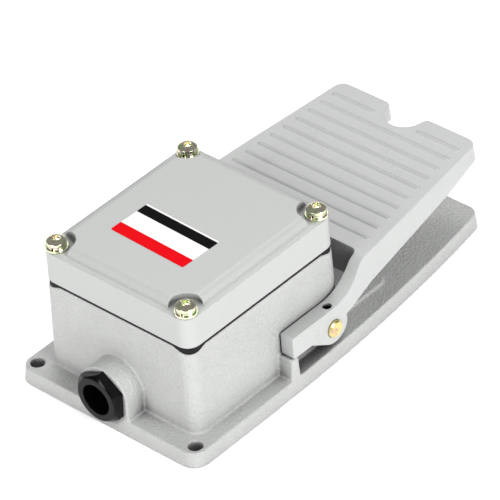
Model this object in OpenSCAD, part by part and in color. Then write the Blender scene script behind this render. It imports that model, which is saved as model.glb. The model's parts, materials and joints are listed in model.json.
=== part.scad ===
// Industrial foot switch: a cast base with a sealed switch box, and a ribbed
// treadle pedal whose two arms straddle the box and turn on a cross shaft.
// Millimetres, +Z up, +X towards the toe end, origin at the middle of the base's underside.

/* [Base plate] */
// Length of the base plate
base_l = 250; // [244:1:280]
// Thickness of the base plate
base_t = 9; // [8:0.5:13]
// Width of the base plate at its toe end
base_toe_w = 96; // [84:1:110]
// Radius of the base plate's corners
base_corner_r = 9; // [7:0.5:11]
// Inset of the plate's top face, from the slope of its edge
plate_draft = 1.2; // [0.5:0.1:2.5]
// Width of plate left outside the pedal arms
side_ledge = 0.4; // [0.1:0.1:5]
// Length of plate left in front of the box
front_ledge = 13.8; // [12.5:0.1:20]
// Depth of the hollow under the plate
hollow_d = 4.5; // [2:0.5:5]
// Width of the rim around the hollow
hollow_rim_w = 6; // [5:0.5:9]
// Thickness of the ribs under the plate
under_rib_t = 3; // [2:0.5:5]
// Height of the raised landing under the pedal
landing_h = 1.3; // [0.8:0.1:2]

/* [Mounting holes] */
// Diameter of the mounting holes
mount_hole_d = 8; // [6:0.5:8.5]
// Distance of the two rear holes from the plate's end
mount_inset_x = 8.4; // [8:0.1:11]
// Distance of the two rear holes from the plate's sides
mount_inset_y = 7.6; // [7:0.1:10]
// Distance of the toe hole from the plate's end
toe_hole_inset = 11; // [10.5:0.5:13]

/* [Switch box] */
// Length of the box at the plate
box_l = 116.1; // [110:0.1:122]
// Width of the box at the plate
box_w = 105.4; // [98:0.2:125]
// Height of the box above the plate
box_h = 53; // [50:0.5:65]
// Wall thickness of the box and its cover
box_wall = 4; // [3.5:0.25:4.5]
// Radius of the box's upright corners
box_corner_r = 7.5; // [6:0.5:9]
// Casting draft of the box and cover walls in degrees
box_draft = 1.2; // [0.5:0.1:2]
// Drop of the box's rim at its corners
corner_drop = 3.2; // [1:0.2:5]

/* [Cover] */
// Height of the cover's upright wall
cover_wall_h = 18.3; // [14:0.1:28]
// Height of the step inside the cover's top edge
cover_step_h = 0.5; // [0.3:0.1:1]
// Width of the ledge outside that step
cover_ledge_w = 1.2; // [0.8:0.1:2]
// Height of the raised panel above the step
panel_h = 4.5; // [3:0.1:7]
// Width of the flat rim around the raised panel
panel_rim_w = 2.1; // [1:0.1:4]
// Width of the rounded shoulder of the raised panel
panel_shoulder_w = 4.8; // [3:0.1:8]
// Thickness of the cover's roof
roof_t = 3.5; // [2.5:0.25:5]
// Thickness of the cover gasket
gasket_t = 1.7; // [1:0.1:3]
// Distance of the cover screws from the cover's top edges
screw_inset = 6.2; // [5.8:0.1:7]
// Radius of the corner pockets around the cover screws
pocket_r = 10.2; // [8:0.1:12]
// Length of the label
label_l = 51.6; // [30:0.2:60]
// Width of the label
label_w = 27; // [16:0.2:32]
// Thickness of the label
label_t = 0.3; // [0.2:0.05:0.5]

/* [Cover screws] */
// Thread diameter of the cover screws
screw_d = 6; // [5:0.5:6]
// Head diameter of the cover screws
screw_head_d = 10.6; // [9:0.1:11]
// Head height of the cover screws
screw_head_h = 3.9; // [3:0.1:4.5]
// Diameter of the flat washers
flat_washer_d = 12.5; // [11.5:0.1:12.8]
// Thickness of the flat washers
flat_washer_t = 1.3; // [0.8:0.1:2]
// Thickness of the split spring washers
spring_washer_t = 1.5; // [1:0.1:2]
// Length of the screw shank below its head
screw_l = 34; // [32:1:38]

/* [Cable gland] */
// Height of the cable entry above the plate
gland_h = 11.2; // [11:0.1:16]
// Outer radius of the gland boss on the box
gland_boss_r = 16; // [15.5:0.1:18]
// Diameter of the threaded hole in the boss
gland_thread_d = 25; // [22:0.1:25.6]
// Size of the gland nut across its flats
gland_nut_af = 27; // [26.5:0.1:30]
// Length of the gland nut's hexagon
gland_nut_l = 6.2; // [5:0.1:9]
// Diameter of the cable hole through the gland nut
cable_hole_d = 18.2; // [14:0.1:19]
// Diameter of the hole through the rubber seal
seal_hole_d = 13; // [8:0.1:16]
// Turn of the gland nut from a level flat in degrees
gland_nut_turn = 4; // [0:1:30]

/* [Pivot] */
// Height of the pivot shaft above the plate
pivot_h = 13.2; // [13:0.1:17]
// Distance of the pivot shaft from the box's rear wall
pivot_inset = 18.3; // [17.5:0.1:22]
// Diameter of the pivot shaft
shaft_d = 10; // [8:0.1:11]
// Length of shaft standing out of each arm
shaft_proud = 1.8; // [0.5:0.1:4]
// Outer diameter of the shaft bushes
bush_d = 14; // [13:0.1:16]

/* [Pedal] */
// Thickness of each pedal arm across the pedal
arm_t = 8.8; // [7.5:0.1:12]
// Gap between the box wall at the plate and each arm
arm_gap = 0.4; // [0.3:0.1:2]
// Radius of the arm's boss around the shaft
arm_boss_r = 10.6; // [9.5:0.1:11.5]
// Height of the arm boss's centre above the shaft
boss_rise = 1.4; // [0:0.1:2]
// Length of the arm's tail behind the shaft
tail_l = 31.9; // [28:0.1:38]
// Height of the tail's upper face above the shaft
tail_top = 12.8; // [12:0.1:13.5]
// Depth of the tail
tail_depth = 13; // [10:0.1:14]
// Height of the tread above the shaft at the fork
tread_h = 28.5; // [27:0.1:33]
// Slope of the tread in degrees
tread_tilt = 2.6; // [1:0.1:5]
// Gap between the box's rear wall and the pedal's fork
fork_gap = 12.6; // [10:0.1:18]
// Distance from the base plate's toe end back to the pedal's toe
toe_setback = 0.3; // [0:0.1:8]
// Width of the skirt at its toe
toe_w = 99.6; // [90:0.2:108]
// Radius of the pedal's toe corners
toe_corner_r = 7.4; // [5:0.1:12]
// Depth of the skirt at the fork
skirt_fork_d = 19.4; // [16:0.1:20]
// Depth of the skirt at the toe
skirt_toe_d = 8.8; // [8:0.1:12]
// Thickness of the tread and of the skirt
skirt_t = 4.5; // [3.5:0.1:6]
// Casting draft of the toe's skirt in degrees
skirt_draft = 6.5; // [1:0.5:8]
// Radius of the notch in the pedal's toe
notch_r = 12; // [9:0.5:15]
// Full travel of the pedal in degrees
pedal_travel = 12; // [8:1:12]

/* [Tread ribs] */
// Number of full-width tread ribs
rib_count = 9; // [5:1:9]
// Spacing of the tread ribs
rib_pitch = 9.32; // [7:0.02:9.4]
// Distance of the first full rib from the pedal's toe
rib_first = 21.9; // [20:0.1:25]
// Length of the full rib nearest the toe
rib_toe_l = 90.4; // [80:0.2:92]
// Growth in length from one rib to the next
rib_growth = 1.8; // [0:0.1:2]
// Radius of the rounded tread ribs
rib_r = 1.1; // [0.6:0.1:1.6]

/* [Switch works] */
// Distance from the shaft to the switch plunger
plunger_reach = 18; // [17:0.1:19]
// Height of the cam nose above the shaft
nose_h = 6; // [5.5:0.1:6.5]
// Distance from the shaft to the return spring
spring_reach = 36; // [35:0.1:38]
// Free room for the return spring
spring_room = 20; // [18:0.1:22]
// Outer diameter of the return spring
spring_d = 11; // [10:0.1:12]
// Wire diameter of the return spring
wire_d = 1.4; // [1:0.1:1.6]
// Number of turns of the return spring
spring_turns = 7; // [5:1:8]
// Length of the snap switch along its row of terminals
switch_l = 49.2; // [46:0.2:52]
// Thickness of the snap switch
switch_w = 17.4; // [15:0.2:18]
// Height of the snap switch
switch_h = 24; // [20:0.2:25]
// Thickness of the switch bracket's sheet
bracket_t = 2; // [1.5:0.1:2.5]

/* [Hidden] */
$fn = 48;

eps = 0.01;               // thickness of the slices that a hull joins
over = 1;                 // how far a cut runs past the face it opens
tuck = 0.05;              // how far straight sides stand in from the round they meet
fit = 0.02;               // clearance of a piece held fast in its hole
running = 0.05;           // radial clearance of a running fit
rest_gap = 0.3;           // gap between pieces that only rest on each other
hull_fn = 32;             // facets of a round corner in a hull
big_fn = 720;             // facets of the plate's long side curves

// Box, seam and cover
box_front = -base_l / 2 + front_ledge;
box_back = box_front + box_l;
box_x = (box_front + box_back) / 2;
seam_z = base_t + box_h;
cover_z = seam_z + gasket_t;
ledge_z = cover_z + cover_wall_h;
rim_z = ledge_z + cover_step_h;
panel_z = rim_z + panel_h;
function box_hx(z) = box_l / 2 - tan(box_draft) * (z - base_t);
function box_hy(z) = box_w / 2 - tan(box_draft) * (z - base_t);
screw_x = box_hx(ledge_z) - screw_inset;
screw_y = box_hy(ledge_z) - screw_inset;
screw_hole_r = screw_d / 2 + running;
pillar_r = screw_inset;
pillar_bore_d = 24;
corner_slope = 26;

// Arms, pivot and plate width
arm_in = box_w / 2 + arm_gap;
arm_out = arm_in + arm_t;
arm_mid = (arm_in + arm_out) / 2;
base_hw = arm_out + side_ledge + plate_draft;
pivot_x = box_back - pivot_inset;
pivot_z = base_t + pivot_h;
fork_x = box_back + fork_gap;
toe_x = base_l / 2 - toe_setback;

// Long side curves of the plate, tangent to its straight sides
taper_start = box_x - 7;
curve_run = base_l / 2 - taper_start;
curve_drop = base_hw - base_toe_w / 2;
curve_r = (curve_run * curve_run + curve_drop * curve_drop) / (2 * curve_drop);
toe_in_x = base_l / 2 - base_corner_r;
toe_in_y = base_hw - curve_r
    + sqrt(pow(curve_r - base_corner_r, 2) - pow(toe_in_x - taper_start, 2));
toe_turn = asin((toe_in_x - taper_start) / (curve_r - base_corner_r));

// Gland
gland_z = base_t + gland_h;
gland_front = -base_l / 2 + plate_draft;
gland_shoulder = box_front + 2.5;
spigot_l = 7.2;
gland_washer_t = 1.2;
spigot_end = gland_front + spigot_l;
seal_start = spigot_end + gland_washer_t;

// Side profile of the pedal, measured from the pivot
tilt_m = tan(tread_tilt);
fork_u = fork_x - pivot_x;
toe_u = toe_x - pivot_x;
tail_bottom = tail_top - tail_depth;
neck_r = 28;
brow_r = 10;
function tread_v(u) = tread_h + (u - fork_u) * tilt_m;
neck_v = tail_top + neck_r;
brow_k = tread_v(0) - brow_r / cos(tread_tilt) - neck_v;
brow_u = (-tilt_m * brow_k + sqrt(pow(tilt_m * brow_k, 2)
    - (1 + tilt_m * tilt_m) * (brow_k * brow_k - pow(neck_r + brow_r, 2)))) / (1 + tilt_m * tilt_m);
brow_v = tread_v(brow_u) - brow_r / cos(tread_tilt);
neck_turn = atan2(brow_v - neck_v, brow_u);
skirt_mid_u = fork_u + 0.7 * (toe_u - fork_u);
skirt_mid_d = skirt_toe_d + 5.2;
skirt_low = pivot_z + tread_v(toe_u) - skirt_toe_d;
pedal_high = pivot_z + tread_v(toe_u) + over;
arm_draft = 0.9;          // inset of the arms at the pedal's top
skirt_lean = tan(skirt_draft);
function toe_inset(z) = 0.5 + skirt_lean * (z - skirt_low);
notch_x = toe_x - 3.5;
taper_x = pivot_x + 13.5;
toe_hw = toe_w / 2;

// Stop posts under the tails
post_top_z = pivot_z + tail_bottom - rest_gap;
post_l = 7;
post_draft = 1;
post_front = pivot_x - tail_l - 2.8;

// Switch works
plunger_x = pivot_x - plunger_reach;
plunger_r = 3;
plunger_low = pivot_z + nose_h + rest_gap;
switch_low = plunger_low + plunger_reach * sin(pedal_travel) + 2.3;
switch_high = switch_low + switch_h;
lever_top = 3;
lever_low = -4;
lever_w = 8;
nose_r = 3;
spring_x = pivot_x - spring_reach;
spring_low = pivot_z + lever_top;
spring_high = spring_low + spring_room;
bracket_x = plunger_x - switch_w / 2 - bracket_t;
bracket_hy = 21;
standoff_h = 4;
bracket_foot_z = base_t + standoff_h;
bracket_foot_l = 20;
bracket_high = switch_low + 18;
bracket_screw_x = bracket_x - 11;
bracket_screw_y = 15;
switch_screw_y = 12.7;
switch_screw_z = switch_low + 6;
m4_r = 2;
m4_head_d = 7.6;
m4_head_h = 2.6;
m4_pad_r = 5;
m4_nut_af = 7;
m4_nut_h = 3.2;
earth_x = box_front + 22;
earth_y = -28;

// ---------- Shared shapes ----------

// Rounded rectangle about the origin, from half sizes
module round_rect(hx, hy, r) {
    square([2 * hx, 2 * (hy - r)], center = true);
    square([2 * (hx - r), 2 * hy], center = true);
    for (sx = [-1, 1], sy = [-1, 1])
        translate([sx * (hx - r), sy * (hy - r)]) circle(r);
}

// Thin slice of the box's outline at height z, taken in by inset
module box_slice(z, inset, r) {
    translate([box_x, 0, z]) linear_extrude(eps)
        round_rect(box_hx(z) - inset, box_hy(z) - inset, r, $fn = hull_fn);
}

// Drafted block with the box's walls, from z0 to z1
module box_block(z0, z1, inset, r) {
    hull() {
        box_slice(z0, inset, r);
        box_slice(z1 - eps, inset, r);
    }
}

module at_cover_screws() {
    for (sx = [-1, 1], sy = [-1, 1])
        translate([box_x + sx * screw_x, sy * screw_y, 0]) children();
}

// Space above the sloping corners of the box's rim
module corner_space() {
    for (sx = [-1, 1], sy = [-1, 1])
        translate([box_x + sx * box_hx(seam_z), sy * box_hy(seam_z), seam_z])
            rotate([0, 0, atan2(sy, sx)])
                translate([-corner_drop / tan(corner_slope) - 2.5, -15, 0])
                    rotate([0, corner_slope, 0])
                        cube([20, 30, 20]);
}

// Round bar along Y through the pivot, from y0 to y1
module pivot_bar(r, y0, y1) {
    translate([pivot_x, y1, pivot_z]) rotate([90, 0, 0]) cylinder(r = r, h = y1 - y0);
}

// Round bar along X on the cable entry, from x0 to x1
module gland_bar(r, x0, x1) {
    translate([x0, 0, gland_z]) rotate([0, 90, 0]) cylinder(r = r, h = x1 - x0);
}

// Pan head with a cross recess, its underside at the origin
module pan_head(d, h) {
    dome = h * 0.55;
    ball_r = (d * d / 4 + dome * dome) / (2 * dome);
    slot_w = d * 0.13;
    slot_l = d * 0.5;
    difference() {
        intersection() {
            cylinder(d = d, h = h);
            translate([0, 0, h - ball_r]) sphere(ball_r);
        }
        for (a = [0, 90])
            rotate([0, 0, a]) translate([-slot_l / 2, -slot_w / 2, h * 0.4]) cube([slot_l, slot_w, h]);
    }
}

// Flat ring
module ring(r_out, r_in, t) {
    difference() {
        cylinder(r = r_out, h = t);
        translate([0, 0, -over]) cylinder(r = r_in, h = t + 2 * over);
    }
}

// ---------- Base casting ----------

// Outline of the base plate, taken in by inset
module plate_outline(inset) {
    back_x = base_l / 2 - base_corner_r;
    back_y = base_hw - base_corner_r;
    round_end_x = toe_in_x + (base_corner_r - inset) * sin(toe_turn);
    translate([-back_x, inset - base_hw]) square([back_x + taper_start, 2 * (base_hw - inset)]);
    translate([inset - base_l / 2, -back_y]) square([base_corner_r, 2 * back_y]);
    translate([taper_start - over, -toe_in_y])
        square([base_l / 2 - inset - taper_start + over, 2 * toe_in_y]);
    for (sy = [-1, 1]) {
        translate([-back_x, sy * back_y]) circle(base_corner_r - inset);
        translate([toe_in_x, sy * toe_in_y]) circle(base_corner_r - inset);
    }
    intersection_for (sy = [-1, 1])
        intersection() {
            translate([taper_start, sy * (base_hw - curve_r)])
                circle(curve_r - inset, $fn = big_fn);
            translate([taper_start, -base_hw]) square([round_end_x - taper_start, 2 * base_hw]);
        }
}

module plate() {
    hull() {
        linear_extrude(eps) plate_outline(0);
        translate([0, 0, base_t - eps]) linear_extrude(eps) plate_outline(plate_draft);
    }
}

module at_rear_holes() {
    for (sy = [-1, 1])
        translate([-base_l / 2 + mount_inset_x, sy * (base_hw - mount_inset_y), 0]) children();
}

module at_toe_hole() {
    translate([base_l / 2 - toe_hole_inset, 0, 0]) children();
}

// Hollow under the plate, left solid at its ribs, holes and gland boss
module under_hollow() {
    pad_r = mount_hole_d / 2 + 4.5;
    translate([0, 0, -over]) linear_extrude(hollow_d + over) difference() {
        plate_outline(hollow_rim_w);
        at_rear_holes() circle(pad_r);
        at_toe_hole() circle(pad_r);
        translate([-base_l / 2, -gland_boss_r]) square([front_ledge + box_wall, 2 * gland_boss_r]);
        for (y = [-base_hw / 2, 0, base_hw / 2])
            translate([-base_l / 2, y - under_rib_t / 2]) square([base_l, under_rib_t]);
        for (x = [box_front + box_wall / 2, box_x, box_back - box_wall / 2, (box_back + toe_x) / 2])
            translate([x - under_rib_t / 2, -base_hw]) square([under_rib_t, 2 * base_hw]);
    }
}

// Posts beside the box that the pedal's tails rest on
module stop_posts() {
    for (sy = [-1, 1])
        hull() {
            translate([post_front, sy > 0 ? box_w / 2 - over : -arm_out, base_t - eps])
                cube([post_l, arm_out - box_w / 2 + over, eps]);
            translate([post_front + post_draft, sy > 0 ? box_w / 2 - 2 * over : -arm_out, post_top_z - eps])
                cube([post_l - 2 * post_draft, arm_out - box_w / 2 + 2 * over, eps]);
        }
}

// Raised landing behind the box, under the pedal
module landing() {
    landing_end = box_back + 41.5;
    landing_hy = box_w / 2 - 6;
    translate([(box_back + landing_end) / 2, 0, base_t - eps]) linear_extrude(landing_h + eps)
        round_rect((landing_end - box_back) / 2 + over, landing_hy, 6);
}

module gland_boss() {
    gland_bar(gland_boss_r, gland_front, box_front + box_wall);
    translate([gland_front, tuck - gland_boss_r, base_t - eps])
        cube([box_front + box_wall - gland_front, 2 * (gland_boss_r - tuck), gland_h]);
}

// Bosses inside the box that carry the shaft's bushes
pivot_boss_r = bush_d / 2 + 3;
pivot_boss_y = box_w / 2 - box_wall - 6;
module pivot_bosses() {
    for (sy = [-1, 1]) {
        y0 = sy > 0 ? pivot_boss_y : -box_w / 2 + box_wall / 2;
        pivot_bar(pivot_boss_r, y0, y0 + 6 + box_wall / 2);
        translate([pivot_x - pivot_boss_r + tuck, y0, base_t - eps])
            cube([2 * (pivot_boss_r - tuck), 6 + box_wall / 2, pivot_h]);
    }
}

module at_bracket_screws() {
    for (sy = [-1, 1])
        translate([bracket_screw_x, sy * bracket_screw_y, 0]) children();
}

module base_casting() {
    inner_r = box_corner_r - box_wall + 1;
    color("gainsboro") difference() {
        union() {
            difference() {
                union() {
                    plate();
                    box_block(base_t - eps, seam_z, 0, box_corner_r);
                    gland_boss();
                    stop_posts();
                    landing();
                }
                box_block(base_t, seam_z + over, box_wall, inner_r);
                under_hollow();
            }
            at_cover_screws() translate([0, 0, base_t - eps]) cylinder(r = pillar_r, h = box_h + eps);
            pivot_bosses();
            at_bracket_screws() translate([0, 0, base_t - eps]) cylinder(r = m4_pad_r, h = standoff_h + eps);
            translate([earth_x, earth_y, base_t - eps]) cylinder(r = m4_pad_r, h = standoff_h + eps);
        }
        corner_space();
        at_cover_screws() translate([0, 0, seam_z - pillar_bore_d])
            cylinder(r = screw_hole_r, h = pillar_bore_d + over);
        at_rear_holes() translate([0, 0, -over]) cylinder(d = mount_hole_d, h = base_t + 2 * over);
        at_toe_hole() translate([0, 0, -over]) cylinder(d = mount_hole_d, h = base_t + 2 * over);
        gland_bar(gland_boss_r + over, gland_front - 4, gland_front);
        gland_bar(gland_thread_d / 2, gland_front - over, gland_shoulder);
        gland_bar(seal_hole_d / 2 + 1, gland_front - over, box_front + box_wall + over);
        pivot_bar(bush_d / 2 + fit, -box_w, box_w);
        at_bracket_screws() translate([0, 0, base_t - 2]) cylinder(r = m4_r + fit, h = standoff_h + 3);
        translate([earth_x, earth_y, base_t - 2]) cylinder(r = m4_r + fit, h = standoff_h + 3);
    }
}

// ---------- Cover and its fastenings ----------

module seal_outline(inset, r) {
    translate([box_x, 0]) round_rect(box_hx(seam_z) - inset, box_hy(seam_z) - inset, r);
}

module cover_gasket() {
    color("black") difference() {
        union() {
            translate([0, 0, seam_z]) linear_extrude(gasket_t) {
                difference() {
                    seal_outline(0.3, box_corner_r);
                    seal_outline(box_wall, box_corner_r - box_wall + 1);
                }
                at_cover_screws() circle(pillar_r - 0.3);
            }
            intersection() {
                translate([0, 0, seam_z - 8]) linear_extrude(8) intersection() {
                    seal_outline(0.3, box_corner_r);
                    at_cover_screws() circle(pillar_r + 2);
                }
                corner_space();
            }
        }
        at_cover_screws() translate([0, 0, seam_z - 10]) cylinder(r = screw_hole_r + 0.3, h = 20);
        box_block(seam_z - 10, seam_z + over, box_wall + pillar_r, 1);
    }
}

// Raised panel with a rounded shoulder
module cover_panel() {
    foot = cover_ledge_w + panel_rim_w;
    rows = 5;
    hull() for (i = [0:rows]) {
        a = 90 * i / rows;
        translate([box_x, 0, rim_z - eps + (panel_h - eps) * sin(a)]) linear_extrude(eps)
            round_rect(box_hx(ledge_z) - foot - panel_shoulder_w * (1 - cos(a)),
                box_hy(ledge_z) - foot - panel_shoulder_w * (1 - cos(a)),
                box_corner_r - 1, $fn = hull_fn);
    }
}

module cover() {
    color("gainsboro") difference() {
        union() {
            difference() {
                union() {
                    box_block(cover_z, ledge_z, 0, box_corner_r);
                    translate([box_x, 0, ledge_z - eps]) linear_extrude(cover_step_h + eps)
                        round_rect(box_hx(ledge_z) - cover_ledge_w, box_hy(ledge_z) - cover_ledge_w,
                            box_corner_r - cover_ledge_w);
                    cover_panel();
                }
                difference() {
                    box_block(cover_z - over, panel_z - roof_t, box_wall + 3.5, 4);
                    at_cover_screws() translate([0, 0, cover_z - 2 * over])
                        cylinder(r = pocket_r + roof_t, h = panel_z);
                }
                box_block(cover_z - over, ledge_z - roof_t, box_wall, 4);
            }
            at_cover_screws() translate([0, 0, cover_z]) cylinder(r = pillar_r - 0.2, h = cover_wall_h);
        }
        at_cover_screws() translate([0, 0, rim_z]) cylinder(r = pocket_r, h = panel_h + over);
        at_cover_screws() translate([0, 0, cover_z - over]) cylinder(r = screw_hole_r + 0.3, h = 40);
    }
}

module cover_flat_washers() {
    color("khaki") at_cover_screws() translate([0, 0, rim_z])
        ring(flat_washer_d / 2, screw_d / 2 + 0.2, flat_washer_t);
}

module cover_spring_washers() {
    ring_r = screw_head_d / 2 + 0.1;
    split = 0.9;
    color("khaki") at_cover_screws() translate([0, 0, rim_z + flat_washer_t]) difference() {
        ring(ring_r, screw_d / 2 + 0.2, spring_washer_t);
        rotate([0, 0, 200]) translate([0, -split / 2, -over])
            cube([ring_r + over, split, spring_washer_t + 2 * over]);
    }
}

module cover_screws() {
    color("khaki") at_cover_screws() translate([0, 0, rim_z + flat_washer_t + spring_washer_t]) {
        rotate([0, 0, 15]) pan_head(screw_head_d, screw_head_h);
        translate([0, 0, -screw_l]) cylinder(d = screw_d, h = screw_l + eps);
    }
}

module label() {
    color("white") translate([box_x - 14, 2.2, panel_z]) rotate([0, 0, -1.8])
        translate([-label_w / 2, -label_l / 2, 0]) cube([label_w, label_l, label_t]);
}

// ---------- Cable gland ----------

module gland_nut() {
    corner_r = gland_nut_af / 2 / cos(30);
    face_r = gland_nut_af / 2 - 0.7;
    chamfer_l = corner_r - face_r;
    front = gland_front - gland_nut_l;
    color("dimgray") difference() {
        union() {
            intersection() {
                translate([front, 0, gland_z]) rotate([0, 90, 0]) rotate([0, 0, gland_nut_turn])
                    cylinder(r = corner_r, h = gland_nut_l, $fn = 6);
                translate([front, 0, gland_z]) rotate([0, 90, 0]) union() {
                    cylinder(r1 = face_r, r2 = corner_r, h = chamfer_l);
                    translate([0, 0, chamfer_l - eps]) cylinder(r = corner_r + over, h = gland_nut_l);
                }
            }
            gland_bar(gland_thread_d / 2 - running, gland_front - eps, spigot_end);
        }
        gland_bar(cable_hole_d / 2, front - over, spigot_end + over);
    }
}

module gland_washer() {
    color("silver") translate([spigot_end, 0, gland_z]) rotate([0, 90, 0])
        ring(gland_thread_d / 2 - 0.2, cable_hole_d / 2 + 0.2, gland_washer_t);
}

module gland_seal() {
    color("black") translate([seal_start, 0, gland_z]) rotate([0, 90, 0])
        ring(gland_thread_d / 2 - 0.2, seal_hole_d / 2, gland_shoulder - seal_start);
}

// ---------- Pivot ----------

module shaft_bushes() {
    length = 7.4;
    color("darkgoldenrod") for (sy = [-1, 1])
        translate([pivot_x, sy * pivot_boss_y, pivot_z]) rotate([-90 * sy, 0, 0])
            ring(bush_d / 2, shaft_d / 2 + running, length);
}

module shaft_o_rings() {
    cord_r = (bush_d - shaft_d) / 4 - running / 2;
    ring_y = box_hy(pivot_z) - cord_r - 0.2;
    color("black") for (sy = [-1, 1])
        translate([pivot_x, sy * ring_y, pivot_z]) rotate([90, 0, 0])
            rotate_extrude() translate([(bush_d + shaft_d) / 4 + running / 2, 0]) circle(cord_r);
}

module pivot_shaft() {
    chamfer = 0.8;
    half = arm_out + shaft_proud;
    color("khaki") {
        pivot_bar(shaft_d / 2, chamfer - half, half - chamfer);
        for (sy = [-1, 1])
            translate([pivot_x, sy * (half - chamfer - eps), pivot_z]) rotate([-90 * sy, 0, 0])
                cylinder(r1 = shaft_d / 2, r2 = shaft_d / 2 - chamfer, h = chamfer);
    }
}

// ---------- Pedal ----------

function arc(cx, cy, r, a0, a1, n) =
    [for (i = [0:n]) let (a = a0 + (a1 - a0) * i / n) [cx + r * cos(a), cy + r * sin(a)]];

// Side view of the pedal casting, with the pivot at the origin
module pedal_side() {
    boss_join = 10;
    tail_blend = 33;
    translate([0, boss_rise]) circle(arm_boss_r);
    polygon(concat(
        [[0, 0], [0, tail_top]],
        arc(0, neck_v, neck_r, -90, neck_turn, 10),
        arc(brow_u, brow_v, brow_r, 180 + neck_turn, 90 + tread_tilt, 6),
        [[toe_u, tread_v(toe_u)],
         [toe_u, tread_v(toe_u) - skirt_toe_d],
         [skirt_mid_u, tread_v(skirt_mid_u) - skirt_mid_d],
         [fork_u + 3, tread_v(fork_u + 3) - skirt_fork_d],
         [arm_boss_r * cos(boss_join), boss_rise + arm_boss_r * sin(boss_join)]]
    ));
    polygon([
        [0, 0], [-arm_boss_r * sin(tail_blend), boss_rise - arm_boss_r * cos(tail_blend)],
        [-tail_l * 0.56, tail_bottom], [-tail_l, tail_bottom], [-tail_l, tail_top], [0, tail_top]
    ]);
}

// Band under the tread's top face, from depth d0 to depth d1
module tread_band(d0, d1) {
    translate([pivot_x, base_hw, pivot_z]) rotate([90, 0, 0]) linear_extrude(2 * base_hw)
        polygon([[0, tread_v(0) - d0], [toe_u + 5, tread_v(toe_u + 5) - d0],
            [toe_u + 5, tread_v(toe_u + 5) - d1], [0, tread_v(0) - d1]]);
}

// Thin slice of the pedal's plan, its arms and its toe each taken in
module pedal_slice(z, inset, toe_in) {
    translate([0, 0, z]) linear_extrude(eps) {
        translate([pivot_x - tail_l - over, inset - arm_out])
            square([taper_x - pivot_x + tail_l + over, 2 * (arm_out - inset)]);
        for (sy = [-1, 1])
            translate([toe_x - toe_corner_r, sy * (toe_hw - toe_corner_r)])
                circle(toe_corner_r - toe_in, $fn = hull_fn);
    }
}

// Half width of the pedal's plan at x, beyond the arms
function pedal_hw(x) = arm_out + (toe_hw - arm_out) * (x - taper_x) / (toe_x - taper_x);

module pedal_hollow() {
    x0 = fork_x + skirt_t;
    x1 = toe_x - skirt_t;
    translate([0, 0, pivot_z - arm_boss_r]) linear_extrude(100)
        polygon([[x0, skirt_t - pedal_hw(x0)], [x1, skirt_t - pedal_hw(x1)],
            [x1, pedal_hw(x1) - skirt_t], [x0, pedal_hw(x0) - skirt_t]]);
}

// Ribs that stiffen the tread from below
module pedal_webs() {
    web_t = 3;
    web_d = skirt_toe_d - skirt_t - 0.3;
    intersection() {
        pedal_hollow();
        tread_band(skirt_t - eps, skirt_t + web_d);
        union() {
            for (y = [-20, 20])
                translate([fork_x, y - web_t / 2, 0]) cube([toe_x - fork_x, web_t, 2 * pedal_high]);
            for (i = [1, 2])
                translate([fork_x + i * (toe_x - notch_r - fork_x) / 3, -base_hw, 0])
                    cube([web_t, 2 * base_hw, 2 * pedal_high]);
        }
    }
}

// Toe notch with rounded lips that widen downwards as the toe does
module toe_notch() {
    lip_r = 4;
    tread_z = pivot_z + tread_v(toe_u);
    lip_x = toe_x - toe_inset(tread_z) - lip_r + 0.15;
    lip_y = sqrt(pow(notch_r + lip_r, 2) - pow(lip_x - notch_x, 2));
    rise = 60;
    low_r = lip_r + skirt_lean * (tread_z - pivot_z);
    translate([0, 0, pivot_z]) difference() {
        union() {
            translate([notch_x, 0, 0]) cylinder(r = notch_r, h = rise);
            translate([lip_x, -lip_y, 0]) cube([3 * lip_r, 2 * lip_y, rise]);
        }
        for (sy = [-1, 1])
            translate([lip_x, sy * lip_y, -over])
                cylinder(r1 = low_r + skirt_lean * over, r2 = low_r - skirt_lean * (rise + over),
                    h = rise + 2 * over);
    }
}

// Lip of the toe notch, a skirt that follows it
module notch_skirt() {
    intersection() {
        translate([notch_x, 0, pivot_z]) cylinder(r = notch_r + skirt_t, h = 60);
        translate([fork_x, -base_hw, 0]) cube([toe_x - skirt_t - fork_x + eps, 2 * base_hw, 2 * pedal_high]);
        tread_band(skirt_t - eps, skirt_toe_d);
    }
}

// Round-topped rib across the tread at x, between y0 and y1
module tread_rib(x, y0, y1) {
    sink = rib_r * 0.27;
    z = pivot_z + tread_v(x - pivot_x) - sink;
    translate([x, y1 - rib_r, z]) rotate([90, 0, 0]) cylinder(r = rib_r, h = y1 - y0 - 2 * rib_r, $fn = 24);
    for (y = [y0 + rib_r, y1 - rib_r])
        translate([x, y, z]) sphere(rib_r, $fn = 24);
}

module tread_ribs() {
    for (i = [0:rib_count - 1]) {
        half = (rib_toe_l + rib_growth * i) / 2;
        tread_rib(toe_x - rib_first - i * rib_pitch, -half, half);
    }
    for (sy = [-1, 1]) {
        y0 = notch_r + 3;
        y1 = (rib_toe_l - rib_growth) / 2;
        tread_rib(toe_x - rib_first + rib_pitch, min(sy * y0, sy * y1), max(sy * y0, sy * y1));
    }
}

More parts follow.
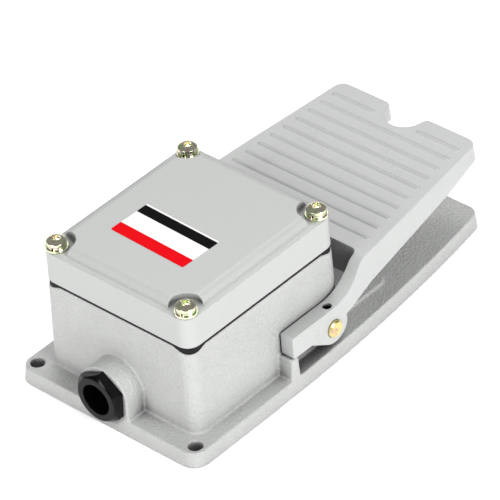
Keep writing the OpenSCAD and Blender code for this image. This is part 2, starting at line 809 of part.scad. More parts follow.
module pedal() {
    set_screw_hole_r = 2.55;
    color("gainsboro") difference() {
        union() {
            difference() {
                intersection() {
                    translate([pivot_x, base_hw, pivot_z]) rotate([90, 0, 0])
                        linear_extrude(2 * base_hw) pedal_side();
                    hull() {
                        pedal_slice(pivot_z - arm_boss_r - over, 0, 0);
                        pedal_slice(pivot_z, 0, 0);
                        pedal_slice(skirt_low, arm_draft / 2, toe_inset(skirt_low));
                        pedal_slice(pedal_high, arm_draft, toe_inset(pedal_high));
                    }
                }
                difference() {
                    pedal_hollow();
                    tread_band(0 - over, skirt_t);
                }
            }
            pedal_webs();
            notch_skirt();
            tread_ribs();
        }
        translate([fork_x / 2 - base_l / 2, 0, 0]) linear_extrude(2 * pedal_high)
            round_rect(base_l / 2 + fork_x / 2, arm_in, 4);
        toe_notch();
        pivot_bar(shaft_d / 2 + fit, -base_hw, base_hw);
        for (sy = [-1, 1])
            translate([pivot_x, sy * arm_mid, pivot_z]) cylinder(r = set_screw_hole_r, h = tail_top + over);
    }
}

module arm_set_screws() {
    color("dimgray") for (sy = [-1, 1])
        translate([pivot_x, sy * arm_mid, pivot_z + shaft_d / 2 + fit]) difference() {
            cylinder(r = 2.5, h = 5);
            translate([0, 0, 2.5]) cylinder(r = 1.45, h = 5, $fn = 6);
        }
}

// ---------- Switch works ----------

module cam_lever() {
    hub_r = 9.5;
    hub_w = 14;
    seat_r = spring_d / 2 + 0.8;
    lever_end = spring_reach;
    color("slategray") translate([pivot_x, 0, pivot_z]) difference() {
        union() {
            translate([0, hub_w / 2, 0]) rotate([90, 0, 0]) cylinder(r = hub_r, h = hub_w);
            translate([-lever_end, -lever_w / 2, lever_low])
                cube([lever_end, lever_w, lever_top - lever_low]);
            translate([-plunger_reach, lever_w / 2, nose_h - nose_r]) rotate([90, 0, 0])
                cylinder(r = nose_r, h = lever_w);
            translate([-lever_end, 0, lever_top - 3]) cylinder(r = seat_r, h = 3);
            translate([-lever_end, 0, lever_top - eps]) cylinder(r = spring_d / 2 - wire_d - 1.7, h = 2.5);
        }
        rotate([90, 0, 0]) translate([0, 0, -hub_w]) cylinder(r = shaft_d / 2 + fit, h = 2 * hub_w);
        rotate([0, 90, 0]) cylinder(r = 2.5 + fit, h = 2 * hub_r);
    }
}

module cam_set_screw() {
    color("dimgray") translate([pivot_x + shaft_d / 2 + fit, 0, pivot_z]) rotate([0, 90, 0]) difference() {
        cylinder(r = 2.5, h = 4);
        translate([0, 0, 2]) cylinder(r = 1.45, h = 4, $fn = 6);
    }
}

// Height of the spring's wire at t turns, with a closed turn at each end
function coil_z(t) = wire_d / 2 + (t < 1 ? wire_d * t
    : t > spring_turns - 1 ? spring_room - wire_d * (spring_turns - t + 1)
    : wire_d + (spring_room - 3 * wire_d) * (t - 1) / (spring_turns - 2));

module return_spring() {
    steps = 20;
    sides = 8;
    rings = spring_turns * steps;
    coil_r = (spring_d - wire_d) / 2;
    points = [for (i = [0:rings], j = [0:sides - 1]) let (
        a = 360 * i / steps, b = 360 * j / sides, r = coil_r + wire_d / 2 * cos(b))
        [r * cos(a), r * sin(a), coil_z(i / steps) + wire_d / 2 * sin(b)]];
    walls = [for (i = [0:rings - 1], j = [0:sides - 1]) let (k = (j + 1) % sides)
        [i * sides + j, (i + 1) * sides + j, (i + 1) * sides + k, i * sides + k]];
    ends = [[for (j = [0:sides - 1]) j], [for (j = [0:sides - 1]) (rings + 1) * sides - 1 - j]];
    color("silver") translate([spring_x, 0, spring_low]) polyhedron(points, concat(walls, ends));
}

module switch_bracket() {
    window_hy = lever_w / 2 + 3.5;
    tab_hy = spring_d / 2 + 2;
    tab_l = bracket_x - spring_x + tab_hy;
    color("silver") difference() {
        union() {
            translate([bracket_x, -bracket_hy, bracket_foot_z])
                cube([bracket_t, 2 * bracket_hy, bracket_high - bracket_foot_z]);
            translate([bracket_x - bracket_foot_l, -bracket_hy, bracket_foot_z])
                cube([bracket_foot_l + eps, 2 * bracket_hy, bracket_t]);
            translate([bracket_x - tab_l, -tab_hy, spring_high])
                cube([tab_l + eps, 2 * tab_hy, bracket_t]);
            translate([spring_x, 0, spring_high - 2.5]) cylinder(r = spring_d / 2 - wire_d - 0.4, h = 2.6);
        }
        translate([bracket_x - over, -window_hy, bracket_foot_z + bracket_t])
            cube([bracket_t + 2 * over, 2 * window_hy, switch_low - bracket_foot_z]);
        at_bracket_screws() translate([0, 0, bracket_foot_z - over]) cylinder(r = m4_r + 0.2, h = 5);
        for (sy = [-1, 1])
            translate([bracket_x - over, sy * switch_screw_y, switch_screw_z]) rotate([0, 90, 0])
                cylinder(r = m4_r + 0.1, h = 5);
    }
}

module bracket_screws() {
    color("silver") at_bracket_screws() translate([0, 0, bracket_foot_z + bracket_t]) {
        pan_head(m4_head_d, m4_head_h);
        translate([0, 0, -7]) cylinder(r = m4_r, h = 7 + eps);
    }
}

module switch_case() {
    groove = 0.6;
    color("dimgray") difference() {
        translate([plunger_x - switch_w / 2, -switch_l / 2, switch_low]) cube([switch_w, switch_l, switch_h]);
        translate([plunger_x, 0, switch_low - over]) cylinder(r = plunger_r + running, h = 11);
        for (sy = [-1, 1])
            translate([plunger_x - switch_w, sy * switch_screw_y, switch_screw_z]) rotate([0, 90, 0])
                cylinder(r = m4_r + 0.1, h = 2 * switch_w);
        for (sx = [-1, 1])
            translate([plunger_x + sx * switch_w / 2, 0, switch_low + switch_h / 2])
                cube([2 * groove, switch_l + over, groove], center = true);
        for (y = [-10, 10])
            translate([plunger_x, y, switch_high]) cube([switch_w + over, 2.4, 5], center = true);
    }
}

module switch_plunger() {
    color("firebrick") translate([plunger_x, 0, plunger_low]) {
        translate([0, 0, plunger_r - 1]) cylinder(r = plunger_r, h = 9);
        intersection() {
            translate([0, 0, plunger_r]) sphere(plunger_r);
            cylinder(r = plunger_r, h = plunger_r);
        }
    }
}

terminal_y = 18;
module at_terminals() {
    for (y = [-terminal_y, 0, terminal_y])
        translate([plunger_x, y, switch_high]) children();
}

module switch_terminals() {
    color("goldenrod") at_terminals() difference() {
        translate([-6, -4, 0]) cube([12, 8, 1]);
        translate([0, 0, -over]) cylinder(r = m4_r + 0.1, h = 3);
    }
}

module terminal_screws() {
    color("silver") at_terminals() translate([0, 0, 1]) {
        pan_head(m4_head_d, m4_head_h);
        translate([0, 0, -0.9]) cylinder(r = m4_r, h = 1);
    }
}

module switch_mount_screws() {
    length = switch_w + bracket_t + 4;
    color("silver") for (sy = [-1, 1])
        translate([plunger_x + switch_w / 2, sy * switch_screw_y, switch_screw_z]) rotate([0, 90, 0]) {
            pan_head(m4_head_d, m4_head_h);
            translate([0, 0, -length]) cylinder(r = m4_r, h = length + eps);
        }
}

module switch_mount_nuts() {
    color("silver") for (sy = [-1, 1])
        translate([bracket_x - m4_nut_h, sy * switch_screw_y, switch_screw_z]) rotate([0, 90, 0]) difference() {
            cylinder(r = m4_nut_af / 2 / cos(30), h = m4_nut_h, $fn = 6);
            translate([0, 0, -over]) cylinder(r = m4_r + fit, h = 6);
        }
}

module earth_washer() {
    color("goldenrod") translate([earth_x, earth_y, base_t + standoff_h]) ring(4.5, m4_r + 0.2, 0.8);
}

module earth_screw() {
    color("forestgreen") translate([earth_x, earth_y, base_t + standoff_h + 0.8]) {
        pan_head(m4_head_d, m4_head_h);
        translate([0, 0, -6]) cylinder(r = m4_r, h = 6 + eps);
    }
}

base_casting();
cover_gasket();
cover();
cover_flat_washers();
cover_spring_washers();
cover_screws();
label();
gland_seal();
gland_washer();
gland_nut();
shaft_bushes();
shaft_o_rings();
pivot_shaft();
pedal();
arm_set_screws();
cam_lever();
cam_set_screw();
return_spring();
switch_bracket();
bracket_screws();
switch_case();
switch_plunger();
switch_terminals();
terminal_screws();
switch_mount_screws();
switch_mount_nuts();
earth_washer();
earth_screw();
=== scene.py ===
import json
import math
import bmesh
import bpy
from mathutils import Matrix, Vector


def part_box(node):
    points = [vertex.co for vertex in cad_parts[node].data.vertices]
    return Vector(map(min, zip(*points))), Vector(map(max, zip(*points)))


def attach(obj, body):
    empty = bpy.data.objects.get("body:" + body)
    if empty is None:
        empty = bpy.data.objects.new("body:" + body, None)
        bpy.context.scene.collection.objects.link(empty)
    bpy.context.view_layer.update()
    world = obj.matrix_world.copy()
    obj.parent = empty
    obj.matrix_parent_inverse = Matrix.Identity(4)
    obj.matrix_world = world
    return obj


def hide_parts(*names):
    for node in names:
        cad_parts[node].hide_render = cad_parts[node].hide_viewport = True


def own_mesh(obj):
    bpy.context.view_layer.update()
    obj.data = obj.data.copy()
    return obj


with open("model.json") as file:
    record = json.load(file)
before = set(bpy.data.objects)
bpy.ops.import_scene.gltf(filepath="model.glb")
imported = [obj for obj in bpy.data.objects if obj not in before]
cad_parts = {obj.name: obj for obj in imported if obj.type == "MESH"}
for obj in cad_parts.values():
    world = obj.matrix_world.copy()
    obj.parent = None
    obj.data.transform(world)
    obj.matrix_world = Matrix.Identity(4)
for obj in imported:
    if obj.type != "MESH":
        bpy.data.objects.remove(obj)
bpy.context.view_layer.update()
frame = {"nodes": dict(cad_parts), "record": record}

nodes = frame["nodes"]
scene = bpy.context.scene

# where the camera stands and how it is turned, in metres and degrees
view = dict(
    place=(-1.2891, -1.2550, 1.4181),
    azimuth=-45.588,
    elevation=37.502,
    roll=-4.759,
    lens=308.8,
    sensor=36.0,
    nearest=0.05,
    farthest=20.0,
)


def makeCamera():
    data = bpy.data.cameras.new("camera")
    data.lens = view["lens"]
    data.sensor_width = view["sensor"]
    data.clip_start = view["nearest"]
    data.clip_end = view["farthest"]
    camera = bpy.data.objects.new("camera", data)
    scene.collection.objects.link(camera)
    turn = (Matrix.Rotation(math.radians(view["azimuth"]), 4, "Z")
            @ Matrix.Rotation(math.radians(90 - view["elevation"]), 4, "X")
            @ Matrix.Rotation(math.radians(view["roll"]), 4, "Z"))
    camera.matrix_world = Matrix.Translation(view["place"]) @ turn
    scene.camera = camera


makeCamera()
print("camera placed")


# builds one shader node and fills its sockets: by name, or as at0, at1 and so on
def addNode(tree, kind, settings=None, **inputs):
    node = tree.nodes.new(kind)
    for key, value in (settings or {}).items():
        setattr(node, key, value)
    for key, value in inputs.items():
        label = int(key[2:]) if key[:2] == "at" else key.replace("_", " ")
        socket = node.inputs[label]
        if isinstance(value, bpy.types.NodeSocket):
            tree.links.new(value, socket)
        else:
            socket.default_value = value
    return node


def calc(tree, operation, *values):
    inputs = {f"at{n}": value for n, value in enumerate(values)}
    return addNode(tree, "ShaderNodeMath", dict(operation=operation), **inputs).outputs[0]


def blendColours(tree, factor, first, second):
    node = addNode(tree, "ShaderNodeMix", dict(data_type="RGBA"), at0=factor, at6=first, at7=second)
    return node.outputs[2]


def noise(tree, place, scale, detail=2.0, roughness=0.5):
    return addNode(tree, "ShaderNodeTexNoise", Vector=place, Scale=scale, Detail=detail,
                   Roughness=roughness).outputs["Fac"]


def span(tree, value, low, high, outLow=0.0, outHigh=1.0):
    node = addNode(tree, "ShaderNodeMapRange", at0=value, at1=low, at2=high, at3=outLow, at4=outHigh)
    return node.outputs[0]


# an empty effect with its named sockets, and the place on the object that its patterns use
def newGroup(name, sockets, outputs):
    group = bpy.data.node_groups.new(name, "ShaderNodeTree")
    for label, kind, value in sockets:
        group.interface.new_socket(label, in_out="INPUT", socket_type=kind).default_value = value
    for label, kind in outputs:
        group.interface.new_socket(label, in_out="OUTPUT", socket_type=kind)
    start = group.nodes.new("NodeGroupInput")
    end = group.nodes.new("NodeGroupOutput")
    place = group.nodes.new("ShaderNodeTexCoord").outputs["Object"]
    return group, start.outputs, end.inputs, place


def finishGroup(group, end, **results):
    for label, socket in results.items():
        group.links.new(socket, end[label])
    return group


colourSocket, numberSocket = "NodeSocketColor", "NodeSocketFloat"
surfaceOutputs = [("Color", colourSocket), ("Roughness", numberSocket), ("Height", numberSocket)]
cloudSpan = (0.3, 0.7)  # the part of a noise's range that shifts the roughness from Low to High


# cast enamel: soft dimples under the paint, and a slight change of tone with them
enamelGrain = dict(fineShare=0.7, broadScale=55.0, broadShare=0.6, middle=0.65)


def makeEnamel():
    group, start, end, place = newGroup("castEnamel", [
        ("Tone", colourSocket, (0.52, 0.53, 0.52, 1)), ("Scale", numberSocket, 700.0),
        ("Mottle", numberSocket, 0.1), ("Low", numberSocket, 0.4), ("High", numberSocket, 0.6),
    ], surfaceOutputs)
    cells = addNode(group, "ShaderNodeTexVoronoi", dict(feature="SMOOTH_F1"), Vector=place,
                    Scale=start["Scale"], Smoothness=1.0).outputs["Distance"]
    fine = noise(group, place, start["Scale"], 3.0)
    broad = noise(group, place, enamelGrain["broadScale"], 4.0)
    height = calc(group, "MULTIPLY_ADD", fine, enamelGrain["fineShare"], cells)
    clouds = calc(group, "MULTIPLY", broad, enamelGrain["broadShare"])
    mixed = calc(group, "MULTIPLY_ADD", fine, enamelGrain["fineShare"], clouds)
    shade = calc(group, "SUBTRACT", mixed, enamelGrain["middle"])
    factor = calc(group, "MULTIPLY_ADD", shade, start["Mottle"], 1.0)
    tone = addNode(group, "ShaderNodeVectorMath", dict(operation="SCALE"), at0=start["Tone"], Scale=factor)
    return finishGroup(group, end, Color=tone.outputs[0], Height=height,
                       Roughness=span(group, broad, *cloudSpan, start["Low"], start["High"]))


# paler paint on ridges, darker paint in concave corners, and painted shade deep in the gaps, where an
# ambient occlusion mask blends the colour to near black
wearAndShadeBands = dict(chipScale=140.0, chips=(0.35, 0.7), ridge=(0.53, 0.6), corner=(0.485, 0.43),
                 gap=(0.52, 0.28), gapSamples=6)


def makeWearAndShade():
    group, start, end, place = newGroup("edgeWearAndShade", [
        ("Color", colourSocket, (0.5, 0.5, 0.5, 1)), ("Worn", colourSocket, (0.7, 0.7, 0.7, 1)),
        ("Corner Tone", colourSocket, (0.3, 0.3, 0.3, 1)), ("Wear Amount", numberSocket, 0.3),
        ("Corner Tone Amount", numberSocket, 0.3), ("Gap Shade", colourSocket, (0.02, 0.02, 0.02, 1)),
        ("Gap Shade Amount", numberSocket, 0.8), ("Reach", numberSocket, 0.004),
    ], [("Color", colourSocket)])
    point = addNode(group, "ShaderNodeNewGeometry").outputs["Pointiness"]
    chips = span(group, noise(group, place, wearAndShadeBands["chipScale"], 5.0), *wearAndShadeBands["chips"])
    ridge = calc(group, "MULTIPLY", span(group, point, *wearAndShadeBands["ridge"]), chips)
    corner = calc(group, "MULTIPLY", span(group, point, *wearAndShadeBands["corner"]), chips)
    rubbed = calc(group, "MULTIPLY", ridge, start["Wear Amount"])
    # darker paint in concave corners: low pointiness blends the colour towards Corner Tone
    cornerDarkening = calc(group, "MULTIPLY", corner, start["Corner Tone Amount"])
    worn = blendColours(group, rubbed, start["Color"], start["Worn"])
    cornerToned = blendColours(group, cornerDarkening, worn, start["Corner Tone"])
    # painted shade: low ambient occlusion within Reach blends the colour to the near-black Gap Shade, as
    # shade falls in gaps and under overhangs
    light = addNode(group, "ShaderNodeAmbientOcclusion", dict(samples=wearAndShadeBands["gapSamples"]),
                    Distance=start["Reach"]).outputs["AO"]
    gap = calc(group, "MULTIPLY", span(group, light, *wearAndShadeBands["gap"]), start["Gap Shade Amount"])
    return finishGroup(group, end, Color=blendColours(group, gap, cornerToned, start["Gap Shade"]))


# iridescent zinc plate: cloudy drifts between three tints
zincDrift = dict(second=1.7, scratchScale=2400.0, cool=(0.42, 0.6), warm=(0.52, 0.68))


def makeZinc():
    group, start, end, place = newGroup("zincPlate", [
        ("Main", colourSocket, (0.7, 0.6, 0.3, 1)), ("Cool", colourSocket, (0.5, 0.6, 0.35, 1)),
        ("Warm", colourSocket, (0.7, 0.4, 0.3, 1)), ("Scale", numberSocket, 220.0),
        ("Low", numberSocket, 0.18), ("High", numberSocket, 0.34),
    ], surfaceOutputs)
    drift = noise(group, place, start["Scale"], 3.0)
    second = noise(group, place, calc(group, "MULTIPLY", start["Scale"], zincDrift["second"]), 2.0)
    scratch = noise(group, place, zincDrift["scratchScale"], 2.0)
    cool = blendColours(group, span(group, drift, *zincDrift["cool"]), start["Main"], start["Cool"])
    warm = blendColours(group, span(group, second, *zincDrift["warm"]), cool, start["Warm"])
    return finishGroup(group, end, Color=warm, Height=scratch,
                       Roughness=span(group, drift, *cloudSpan, start["Low"], start["High"]))


# moulded rubber or plastic: fine skin, a bloom of grey dust
dustClouds = dict(scale=90.0, band=(0.4, 0.75))


def makeSkin():
    group, start, end, place = newGroup("mouldedSkin", [
        ("Tone", colourSocket, (0.02, 0.02, 0.02, 1)), ("Dust", colourSocket, (0.2, 0.2, 0.2, 1)),
        ("Dust Amount", numberSocket, 0.1), ("Scale", numberSocket, 1500.0),
        ("Low", numberSocket, 0.4), ("High", numberSocket, 0.6),
    ], surfaceOutputs)
    skin = noise(group, place, start["Scale"], 3.0)
    broad = noise(group, place, dustClouds["scale"], 4.0)
    amount = calc(group, "MULTIPLY", span(group, broad, *dustClouds["band"]), start["Dust Amount"])
    dusty = blendColours(group, amount, start["Tone"], start["Dust"])
    return finishGroup(group, end, Color=dusty, Height=skin,
                       Roughness=span(group, broad, *cloudSpan, start["Low"], start["High"]))


# bare metal: fine drawn lines, tarnish in clouds
tarnishClouds = dict(scale=120.0, band=(0.4, 0.75), stretch=(1, 0.08, 1))


def makeBareMetal():
    group, start, end, place = newGroup("bareMetal", [
        ("Tone", colourSocket, (0.6, 0.6, 0.6, 1)), ("Tarnish", colourSocket, (0.4, 0.38, 0.35, 1)),
        ("Tarnish Amount", numberSocket, 0.4), ("Scale", numberSocket, 900.0),
        ("Low", numberSocket, 0.25), ("High", numberSocket, 0.45),
    ], surfaceOutputs)
    drawn = addNode(group, "ShaderNodeVectorMath", dict(operation="MULTIPLY"),
                    at0=place, at1=tarnishClouds["stretch"]).outputs[0]
    lines = noise(group, drawn, start["Scale"], 3.0)
    clouds = noise(group, place, tarnishClouds["scale"], 5.0)
    amount = calc(group, "MULTIPLY", span(group, clouds, *tarnishClouds["band"]), start["Tarnish Amount"])
    tarnished = blendColours(group, amount, start["Tone"], start["Tarnish"])
    return finishGroup(group, end, Color=tarnished, Height=lines,
                       Roughness=span(group, lines, *cloudSpan, start["Low"], start["High"]))


groups = dict(enamel=makeEnamel(), wearAndShade=makeWearAndShade(), zinc=makeZinc(), skin=makeSkin(),
              metal=makeBareMetal())


def fillGroup(tree, kind, values):
    node = tree.nodes.new("ShaderNodeGroup")
    node.node_tree = groups[kind]
    for label, value in values.items():
        if isinstance(value, bpy.types.NodeSocket):
            tree.links.new(value, node.inputs[label])
        else:
            node.inputs[label].default_value = value
    return node


# one material: a surface group, edge wear, corner darkening and painted gap shade where asked, and bump
def makeMaterial(name, kind, values, bump=0.2, depth=0.0003, wearAndShade=None, **sockets):
    material = bpy.data.materials.new(name)
    material.use_nodes = True
    tree = material.node_tree
    shader = tree.nodes["Principled BSDF"]
    for label, value in sockets.items():
        shader.inputs[label.replace("_", " ")].default_value = value
    surface = fillGroup(tree, kind, values)
    colour = surface.outputs["Color"]
    if wearAndShade:
        colour = fillGroup(tree, "wearAndShade", dict(wearAndShade, Color=colour)).outputs["Color"]
    tree.links.new(colour, shader.inputs["Base Color"])
    tree.links.new(surface.outputs["Roughness"], shader.inputs["Roughness"])
    height = surface.outputs["Height"]
    grain = addNode(tree, "ShaderNodeBump", Height=height, Strength=bump, Distance=depth)
    tree.links.new(grain.outputs[0], shader.inputs["Normal"])
    return material


def shadeOf(red, green, blue):
    return (red, green, blue, 1.0)


# painted shade: the near-black Gap Shade at 0.96 darkens gaps within a 22 mm reach
paintWearAndShade = {"Worn": shadeOf(0.60, 0.61, 0.60), "Corner Tone": shadeOf(0.28, 0.28, 0.27), "Wear Amount": 0.15,
             "Corner Tone Amount": 0.22, "Gap Shade": shadeOf(0.012, 0.012, 0.012), "Gap Shade Amount": 0.96,
             "Reach": 0.022}
bodyWearAndShade = dict(paintWearAndShade, **{"Wear Amount": 0.1})

# one look for each material slot of the record
looks = dict(
    body_paint=makeMaterial("hammeredEnamel", "enamel", {
        "Tone": shadeOf(0.492, 0.500, 0.490), "Scale": 900.0, "Mottle": 0.26, "Low": 0.3, "High": 0.42},
        bump=0.75, depth=0.0006, wearAndShade=bodyWearAndShade, Specular_IOR_Level=0.5),
    cover_paint=makeMaterial("smoothEnamel", "enamel", {
        "Tone": shadeOf(0.495, 0.506, 0.495), "Scale": 620.0, "Mottle": 0.06, "Low": 0.3, "High": 0.4},
        bump=0.16, depth=0.0004, wearAndShade=paintWearAndShade, Specular_IOR_Level=0.5),
    pedal_paint=makeMaterial("treadEnamel", "enamel", {
        "Tone": shadeOf(0.505, 0.515, 0.507), "Scale": 1150.0, "Mottle": 0.16, "Low": 0.26, "High": 0.36},
        bump=0.3, depth=0.0003, wearAndShade=paintWearAndShade, Specular_IOR_Level=0.5),
    zinc_yellow=makeMaterial("yellowZinc", "zinc", {
        "Main": shadeOf(0.88, 0.84, 0.68), "Cool": shadeOf(0.64, 0.78, 0.44),
        "Warm": shadeOf(0.84, 0.58, 0.64), "Scale": 330.0, "Low": 0.08, "High": 0.2},
        bump=0.08, depth=0.0001, Metallic=1.0),
    zinc_yellow_shaft=makeMaterial("yellowZincBar", "zinc", {
        "Main": shadeOf(0.80, 0.66, 0.27), "Cool": shadeOf(0.72, 0.64, 0.33),
        "Warm": shadeOf(0.58, 0.38, 0.30), "Scale": 180.0, "Low": 0.24, "High": 0.4},
        bump=0.1, depth=0.0001, Metallic=1.0),
    gasket_rubber=makeMaterial("sealStrip", "skin", {
        "Tone": shadeOf(0.006, 0.006, 0.006), "Dust": shadeOf(0.05, 0.05, 0.05), "Dust Amount": 0.12,
        "Scale": 1400.0, "Low": 0.5, "High": 0.7}, bump=0.2, depth=0.0002, Specular_IOR_Level=0.2),
    seal_rubber=makeMaterial("sealRing", "skin", {
        "Tone": shadeOf(0.012, 0.012, 0.012), "Dust": shadeOf(0.08, 0.08, 0.08), "Dust Amount": 0.1,
        "Scale": 1600.0, "Low": 0.55, "High": 0.75}, bump=0.15, depth=0.0002),
    gland_plastic=makeMaterial("glandNylon", "skin", {
        "Tone": shadeOf(0.002, 0.002, 0.0025), "Dust": shadeOf(0.03, 0.03, 0.033), "Dust Amount": 0.05,
        "Scale": 1300.0, "Low": 0.14, "High": 0.22}, bump=0.1, depth=0.0002, Specular_IOR_Level=0.14),
    switch_plastic=makeMaterial("caseResin", "skin", {
        "Tone": shadeOf(0.03, 0.028, 0.027), "Dust": shadeOf(0.14, 0.13, 0.12), "Dust Amount": 0.12,
        "Scale": 1800.0, "Low": 0.38, "High": 0.5}, bump=0.1, depth=0.0001),
    plunger_plastic=makeMaterial("plungerNylon", "skin", {
        "Tone": shadeOf(0.42, 0.02, 0.018), "Dust": shadeOf(0.55, 0.2, 0.17), "Dust Amount": 0.15,
        "Scale": 1500.0, "Low": 0.25, "High": 0.35}, bump=0.06, depth=0.0001),
    plain_steel=makeMaterial("brightZinc", "metal", {
        "Tone": shadeOf(0.62, 0.63, 0.65), "Tarnish": shadeOf(0.42, 0.43, 0.45), "Tarnish Amount": 0.5,
        "Scale": 900.0, "Low": 0.25, "High": 0.42}, bump=0.08, depth=0.0001, Metallic=1.0),
    black_steel=makeMaterial("blackedSteel", "metal", {
        "Tone": shadeOf(0.006, 0.006, 0.007), "Tarnish": shadeOf(0.015, 0.013, 0.013),
        "Tarnish Amount": 0.5, "Scale": 1100.0, "Low": 0.35, "High": 0.5},
        bump=0.08, depth=0.0001, Metallic=0.9),
    spring_steel=makeMaterial("springWire", "metal", {
        "Tone": shadeOf(0.44, 0.45, 0.47), "Tarnish": shadeOf(0.25, 0.24, 0.23), "Tarnish Amount": 0.5,
        "Scale": 1300.0, "Low": 0.25, "High": 0.38}, bump=0.08, depth=0.0001, Metallic=1.0),
    bronze=makeMaterial("sinteredBronze", "metal", {
        "Tone": shadeOf(0.46, 0.29, 0.13), "Tarnish": shadeOf(0.25, 0.16, 0.08), "Tarnish Amount": 0.6,
        "Scale": 2200.0, "Low": 0.42, "High": 0.6}, bump=0.2, depth=0.0001, Metallic=1.0),
    terminal_brass=makeMaterial("pressedBrass", "metal", {
        "Tone": shadeOf(0.70, 0.55, 0.25), "Tarnish": shadeOf(0.45, 0.32, 0.14), "Tarnish Amount": 0.5,
        "Scale": 1200.0, "Low": 0.24, "High": 0.4}, bump=0.08, depth=0.0001, Metallic=1.0),
    earth_green=makeMaterial("greenScrew", "metal", {
        "Tone": shadeOf(0.07, 0.3, 0.1), "Tarnish": shadeOf(0.04, 0.16, 0.06), "Tarnish Amount": 0.6,
        "Scale": 1200.0, "Low": 0.3, "High": 0.45}, bump=0.08, depth=0.0001, Metallic=0.6),
)
print("materials mixed:", len(looks))

# the finish slot and the moving body of every node
slots = {part["node"]: part["material_slot"] for part in frame["record"]["subparts"]}
bodies = {name: body for body, names in frame["record"]["behaviour"]["bodies"].items() for name in names}


def dress(thing, look):
    thing.data.materials.clear()
    thing.data.materials.append(look)


for name, thing in nodes.items():
    if slots[name] in looks:
        for slot in thing.material_slots:
            slot.link = "OBJECT"
            slot.material = looks[slots[name]]
print("nodes dressed")


# how a skin is made: points closer than weld join, and pull is how far each relaxing pass goes
skinning = dict(weld=0.000001, pull=0.5)


# a cast, moulded or plated skin over a node's solid: fine facets, relaxed so that its edges roll over
def makeSkinOver(piece):
    source = nodes[piece["node"]]
    shape = bmesh.new()
    shape.from_mesh(source.data)
    bmesh.ops.remove_doubles(shape, verts=shape.verts, dist=skinning["weld"])
    mesh = bpy.data.meshes.new(piece["name"])
    shape.to_mesh(mesh)
    shape.free()
    skin = bpy.data.objects.new(piece["name"], mesh)
    scene.collection.objects.link(skin)
    grid = skin.modifiers.new("grid", "REMESH")
    grid.mode = "VOXEL"
    grid.voxel_size = piece["cell"]
    relax = skin.modifiers.new("relax", "SMOOTH")
    relax.factor = skinning["pull"]
    relax.iterations = piece["relax"]
    thin = skin.modifiers.new("thin", "DECIMATE")
    thin.ratio = piece["keep"]
    graph = bpy.context.evaluated_depsgraph_get()
    done = bpy.data.meshes.new_from_object(skin.evaluated_get(graph))
    skin.modifiers.clear()
    if "rise" in piece:
        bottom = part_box(piece["node"])[0][2]
        for corner in done.vertices:
            if corner.co.z > bottom + piece["above"]:
                corner.co.z += piece["rise"]
    skin.data = done
    done.shade_smooth()
    dress(skin, looks[slots[piece["node"]]])
    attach(skin, bodies[piece["node"]])
    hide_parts(piece["node"])
    print("skinned", piece["name"], len(done.polygons))
    return skin


# cell is the facet size, relax the number of passes, and keep the share of facets left at the end
baseSkin = dict(name="baseCasting", node="base_casting", cell=0.0005, relax=6, keep=0.2)
coverSkin = dict(name="coverCasting", node="cover", cell=0.00026, relax=2, keep=0.3)
pedalSkin = dict(name="pedalCasting", node="pedal", cell=0.00028, relax=2, keep=0.25)
sealSkin = dict(name="coverSeal", node="cover_gasket", cell=0.00026, relax=3, keep=0.3)
nutSkin = dict(name="glandNut", node="gland_nut", cell=0.0002, relax=2, keep=0.3)
screwSkin = dict(name="coverScrews", node="cover_screws", cell=0.00011, relax=2, keep=0.3)
springSkin = dict(name="springWashers", node="cover_spring_washers", cell=0.00011, relax=2, keep=0.4)
flatSkin = dict(name="flatWashers", node="cover_flat_washers", cell=0.00012, relax=2, keep=0.4)
# the part of each set screw above its socket's floor stands higher, close under the arm's top
setScrewSkin = dict(name="armSetScrews", node="arm_set_screws", cell=0.0001, relax=1, keep=0.4,
                    above=0.0028, rise=0.0014)
for skinned in (baseSkin, coverSkin, pedalSkin, sealSkin, nutSkin, screwSkin, springSkin, flatSkin,
                setScrewSkin):
    makeSkinOver(skinned)

# return spring: a skin over its node, which keeps the node's shape and place
coilSkin = dict(name="returnCoil", node="return_spring", cell=0.0002, relax=1, keep=0.5, shut=0.52)


def makeCoil():
    coil = makeSkinOver(coilSkin)
    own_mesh(coil)


makeCoil()
print("spring seated")

# label: a thin film with printed bands and no lettering
labelPrint = dict(
    name="labelFilm",
    turn=-1.8,
    ink=((0.93, 0.93, 0.92), (0.003, 0.003, 0.003), (0.93, 0.93, 0.92), (0.80, 0.001, 0.006)),
    edges=(0.0, 0.042, 0.290, 0.720),
    corner=0.0008,
    cornerSteps=5,
)


def makeLabelLook():
    material = bpy.data.materials.new("bandedFilm")
    material.use_nodes = True
    tree = material.node_tree
    shader = tree.nodes["Principled BSDF"]
    shader.inputs["Specular IOR Level"].default_value = 0.03
    place = addNode(tree, "ShaderNodeUVMap", dict(uv_map="film")).outputs[0]
    along = addNode(tree, "ShaderNodeSeparateXYZ", at0=place).outputs[0]
    ramp = addNode(tree, "ShaderNodeValToRGB", at0=along)
    ramp.color_ramp.interpolation = "CONSTANT"
    elements = ramp.color_ramp.elements
    while len(elements) < len(labelPrint["ink"]):
        elements.new(0.5)
    for stop, edge, ink in zip(elements, labelPrint["edges"], labelPrint["ink"]):
        stop.position = edge
        stop.color = (*ink, 1.0)
    film = fillGroup(tree, "skin", {
        "Tone": ramp.outputs[0], "Dust": shadeOf(0.5, 0.5, 0.48), "Dust Amount": 0.006,
        "Scale": 900.0, "Low": 0.5, "High": 0.6})
    tree.links.new(film.outputs["Color"], shader.inputs["Base Color"])
    tree.links.new(film.outputs["Roughness"], shader.inputs["Roughness"])
    grain = addNode(tree, "ShaderNodeBump", Height=film.outputs["Height"], Strength=0.06, Distance=0.0001)
    tree.links.new(grain.outputs[0], shader.inputs["Normal"])
    return material


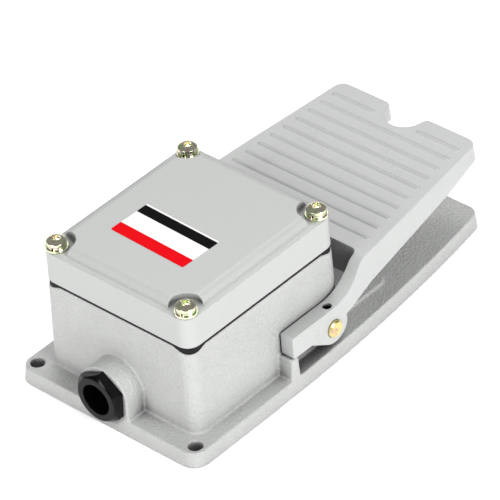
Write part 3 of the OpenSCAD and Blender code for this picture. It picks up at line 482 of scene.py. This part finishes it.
# the film keeps the node's outline and thickness, with rounded corners and its bands laid across
def makeLabel():
    low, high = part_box("label")
    source = nodes["label"].data
    turn = Matrix.Rotation(math.radians(-labelPrint["turn"]), 2)
    centre = Vector(((low[0] + high[0]) / 2, (low[1] + high[1]) / 2))
    flat = [turn @ (Vector(v.co[:2]) - centre) for v in source.vertices]
    halfX = max(abs(p.x) for p in flat)
    halfY = max(abs(p.y) for p in flat)
    back = Matrix.Rotation(math.radians(labelPrint["turn"]), 2)
    shape = bmesh.new()
    ring = []
    r = labelPrint["corner"]
    for sx, sy, start in ((1, 1, 0), (-1, 1, 90), (-1, -1, 180), (1, -1, 270)):
        for step in range(labelPrint["cornerSteps"] + 1):
            angle = math.radians(start + 90 / labelPrint["cornerSteps"] * step)
            ring.append(Vector((sx * (halfX - r) + r * math.cos(angle),
                                sy * (halfY - r) + r * math.sin(angle))))
    placed = [centre + back @ p for p in ring]
    face = shape.faces.new([shape.verts.new((p.x, p.y, low[2])) for p in placed])
    top = bmesh.ops.extrude_face_region(shape, geom=[face])
    for v in top["geom"]:
        if isinstance(v, bmesh.types.BMVert):
            v.co.z = high[2]
    bmesh.ops.recalc_face_normals(shape, faces=shape.faces)
    layer = shape.loops.layers.uv.new("film")
    for f in shape.faces:
        for loop in f.loops:
            p = turn @ (Vector(loop.vert.co[:2]) - centre)
            loop[layer].uv = (0.5 - p.x / (2 * halfX), 0.5 + p.y / (2 * halfY))
    mesh = bpy.data.meshes.new(labelPrint["name"])
    shape.to_mesh(mesh)
    shape.free()
    film = bpy.data.objects.new(labelPrint["name"], mesh)
    scene.collection.objects.link(film)
    dress(film, makeLabelLook())
    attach(film, bodies["label"])
    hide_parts("label")


makeLabel()
print("label laid")

# studio: a pale floor, a bright surround and four soft lights, each with its place, size and power
studio = dict(
    floorColour=(0.85, 0.85, 0.85, 1.0),
    floorRoughness=0.9,
    floorGlow=0.45,
    floorHalf=6.0,
    floorDrop=0.0002,
    surround=(1.0, 1.0, 1.0, 1.0),
    surroundStrength=0.26,
    aim=(0, 0, 0.03),
    lights=dict(
        rightSoftbox=((-0.2, -1.8, 1.15), 0.9, 33),
        leftSoftbox=((-1.8, 0.1, 1.05), 0.9, 20),
        backSoftbox=((0.9, 0.7, 1.9), 0.9, 12),
        farPanel=((1.5, 1.5, 1.6), 1.6, 7),
    ),
)


def makeLight(name, place, size, power):
    data = bpy.data.lights.new(name, "AREA")
    data.shape = "SQUARE"
    data.size = size
    data.energy = power
    light = bpy.data.objects.new(name, data)
    light.location = place
    light.rotation_euler = (Vector(studio["aim"]) - Vector(place)).to_track_quat("-Z", "Y").to_euler()
    scene.collection.objects.link(light)


def makeFloor():
    mesh = bpy.data.meshes.new("floor")
    half = studio["floorHalf"]
    corners = [(-half, -half, 0), (half, -half, 0), (half, half, 0), (-half, half, 0)]
    mesh.from_pydata(corners, [], [(0, 1, 2, 3)])
    floor = bpy.data.objects.new("floor", mesh)
    floor.location.z = -studio["floorDrop"]
    scene.collection.objects.link(floor)
    paint = bpy.data.materials.new("floorPaper")
    paint.use_nodes = True
    shader = paint.node_tree.nodes["Principled BSDF"]
    shader.inputs["Base Color"].default_value = studio["floorColour"]
    shader.inputs["Roughness"].default_value = studio["floorRoughness"]
    shader.inputs["Emission Color"].default_value = studio["surround"]
    shader.inputs["Emission Strength"].default_value = studio["floorGlow"]
    mesh.materials.append(paint)


def makeSurround():
    world = bpy.data.worlds.new("surround")
    scene.world = world
    world.use_nodes = True
    back = world.node_tree.nodes["Background"]
    back.inputs["Color"].default_value = studio["surround"]
    back.inputs["Strength"].default_value = studio["surroundStrength"]


makeFloor()
makeSurround()
for name, (place, size, power) in studio["lights"].items():
    makeLight(name, place, size, power)
scene.view_settings.view_transform = "Standard"
print("studio lit")
